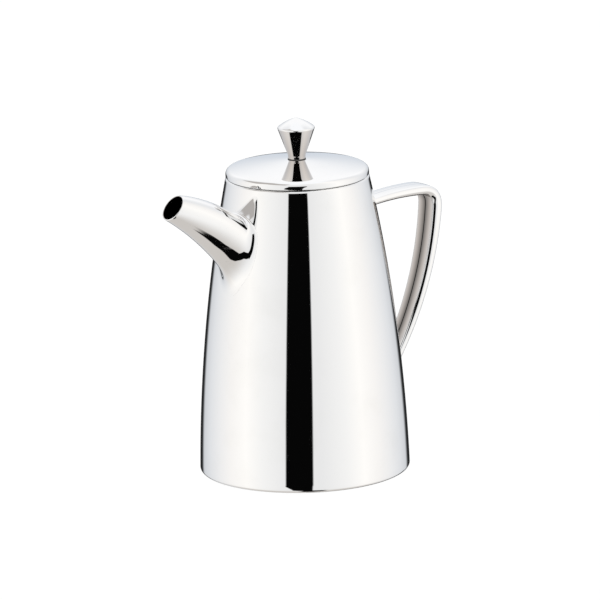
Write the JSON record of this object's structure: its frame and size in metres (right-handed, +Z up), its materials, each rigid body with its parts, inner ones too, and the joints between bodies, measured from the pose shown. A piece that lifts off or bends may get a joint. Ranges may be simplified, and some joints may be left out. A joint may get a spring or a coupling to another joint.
{
  "type": "coffee pot",
  "caption": "Polished steel coffee pot: tapered round body on a flat foot, curved pouring spout, hollow side handle and a lift-off lid with a flared knob.",
  "frame": {"origin": "middle of the foot, on the table", "axes": "+Z up along the body's axis, +X towards the handle, -X towards the spout"},
  "size_m": [0.1796, 0.1112, 0.1896],
  "materials": {
    "polished_steel": "mirror polished stainless steel",
    "satin_steel": "satin stainless steel",
    "dark_washer": "matt dark sealing washer"
  },
  "bodies": {
    "pot": {"body_shell": "polished_steel", "base_plate": "satin_steel", "spout": "polished_steel", "handle_left_half": "polished_steel", "handle_right_half": "polished_steel"},
    "lid": {"lid_cover": "polished_steel", "lid_collar": "satin_steel", "lid_knob": "polished_steel", "knob_washer": "dark_washer", "lock_washer": "satin_steel", "knob_screw": "satin_steel"}
  },
  "joints": [
    {"name": "lid_lift", "type": "slide", "parent": "pot", "child": "lid", "axis": [0, 0, 1], "range_m": [0, 0.08]}
  ]
}
